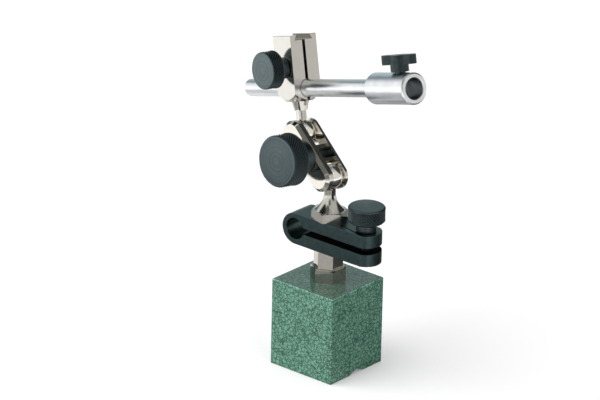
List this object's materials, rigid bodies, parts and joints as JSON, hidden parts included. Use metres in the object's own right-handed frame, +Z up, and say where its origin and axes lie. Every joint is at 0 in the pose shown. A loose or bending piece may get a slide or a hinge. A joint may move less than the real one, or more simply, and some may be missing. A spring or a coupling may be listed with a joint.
{
  "type": "articulated magnetic base",
  "caption": "Small articulated magnetic base: square magnet foot, flexure fine adjuster, double ball link, split clamp block and a sliding cross rod with a gauge sleeve and thumb screw.",
  "frame": {"origin": "middle of the overall outline seen from above, on the surface that the foot stands on", "axes": "+Z up along the post; +X along the flexure bar towards its adjuster knob; the long V groove of the foot runs along X"},
  "size_m": [0.0986, 0.036, 0.1371],
  "materials": {
    "enamel": "glossy hammered enamel",
    "black_oxide": "blackened, semi gloss",
    "nickel": "polished nickel plate",
    "turned_steel": "fine turned, satin",
    "ground_steel": "surface ground",
    "magnet": "matt",
    "brass": "machined"
  },
  "bodies": {
    "base": {"base_housing": "enamel", "front_pole": "ground_steel", "rear_pole": "ground_steel", "magnet_block": "magnet", "pole_spacer": "brass", "base_post": "nickel", "base_lock_nut": "nickel", "flexure_bar": "black_oxide", "lower_ball_stud": "nickel"},
    "fine_adjuster": {"fine_adjust_knob": "black_oxide", "fine_adjust_screw": "black_oxide"},
    "lower_ball": {"lower_ball": "nickel"},
    "link": {"near_link_plate": "nickel", "far_link_plate": "nickel"},
    "link_knob": {"link_knob": "black_oxide", "link_screw": "black_oxide"},
    "upper_ball": {"upper_ball": "nickel"},
    "head": {"clamp_block": "nickel"},
    "clamp_knob": {"clamp_knob": "black_oxide", "clamp_screw": "black_oxide"},
    "rod": {"cross_rod": "turned_steel", "rod_sleeve": "turned_steel"},
    "thumb_screw": {"thumb_screw_head": "black_oxide", "thumb_screw_shank": "black_oxide"}
  },
  "joints": [
    {"name": "fine_adjust_turn", "type": "hinge", "parent": "base", "child": "fine_adjuster", "pos_m": [0.01979, 0.00276, 0.0599], "axis": [0, 0, 1], "range_deg": [-360, 360]},
    {"name": "arm_swivel", "type": "hinge", "parent": "base", "child": "lower_ball", "pos_m": [0.00178, 0.00276, 0.0762], "axis": [0, 0, 1], "continuous": true},
    {"name": "link_tilt", "type": "hinge", "parent": "lower_ball", "child": "link", "pos_m": [0.00178, 0.00276, 0.0762], "axis": [0.0934, 0.9881, -0.1219], "range_deg": [-28, 110]},
    {"name": "link_knob_turn", "type": "hinge", "parent": "link", "child": "link_knob", "pos_m": [-0.00705, -0.00251, 0.08334], "axis": [-0.0934, -0.9881, 0.1219], "range_deg": [0, 360]},
    {"name": "head_tilt", "type": "hinge", "parent": "link", "child": "upper_ball", "pos_m": [-0.0146, 0.00586, 0.0888], "axis": [0.0934, 0.9881, -0.1219], "range_deg": [-90, 60]},
    {"name": "head_swivel", "type": "hinge", "parent": "upper_ball", "child": "head", "pos_m": [-0.0146, 0.00586, 0.0888], "axis": [-0.2718, 0.1431, 0.9517], "continuous": true},
    {"name": "clamp_knob_turn", "type": "hinge", "parent": "head", "child": "clamp_knob", "pos_m": [-0.02284, 0.00333, 0.1131], "axis": [-0.2291, -0.9701, 0.0804], "range_deg": [0, 360]},
    {"name": "rod_slide", "type": "slide", "parent": "head", "child": "rod", "axis": [0.9347, -0.1961, 0.2964], "range_m": [-0.0412, 0.0255]},
    {"name": "thumb_screw_turn", "type": "hinge", "parent": "rod", "child": "thumb_screw", "pos_m": [0.0385, -0.0033, 0.12951], "axis": [-0.2718, 0.1431, 0.9517], "range_deg": [0, 360]}
  ]
}
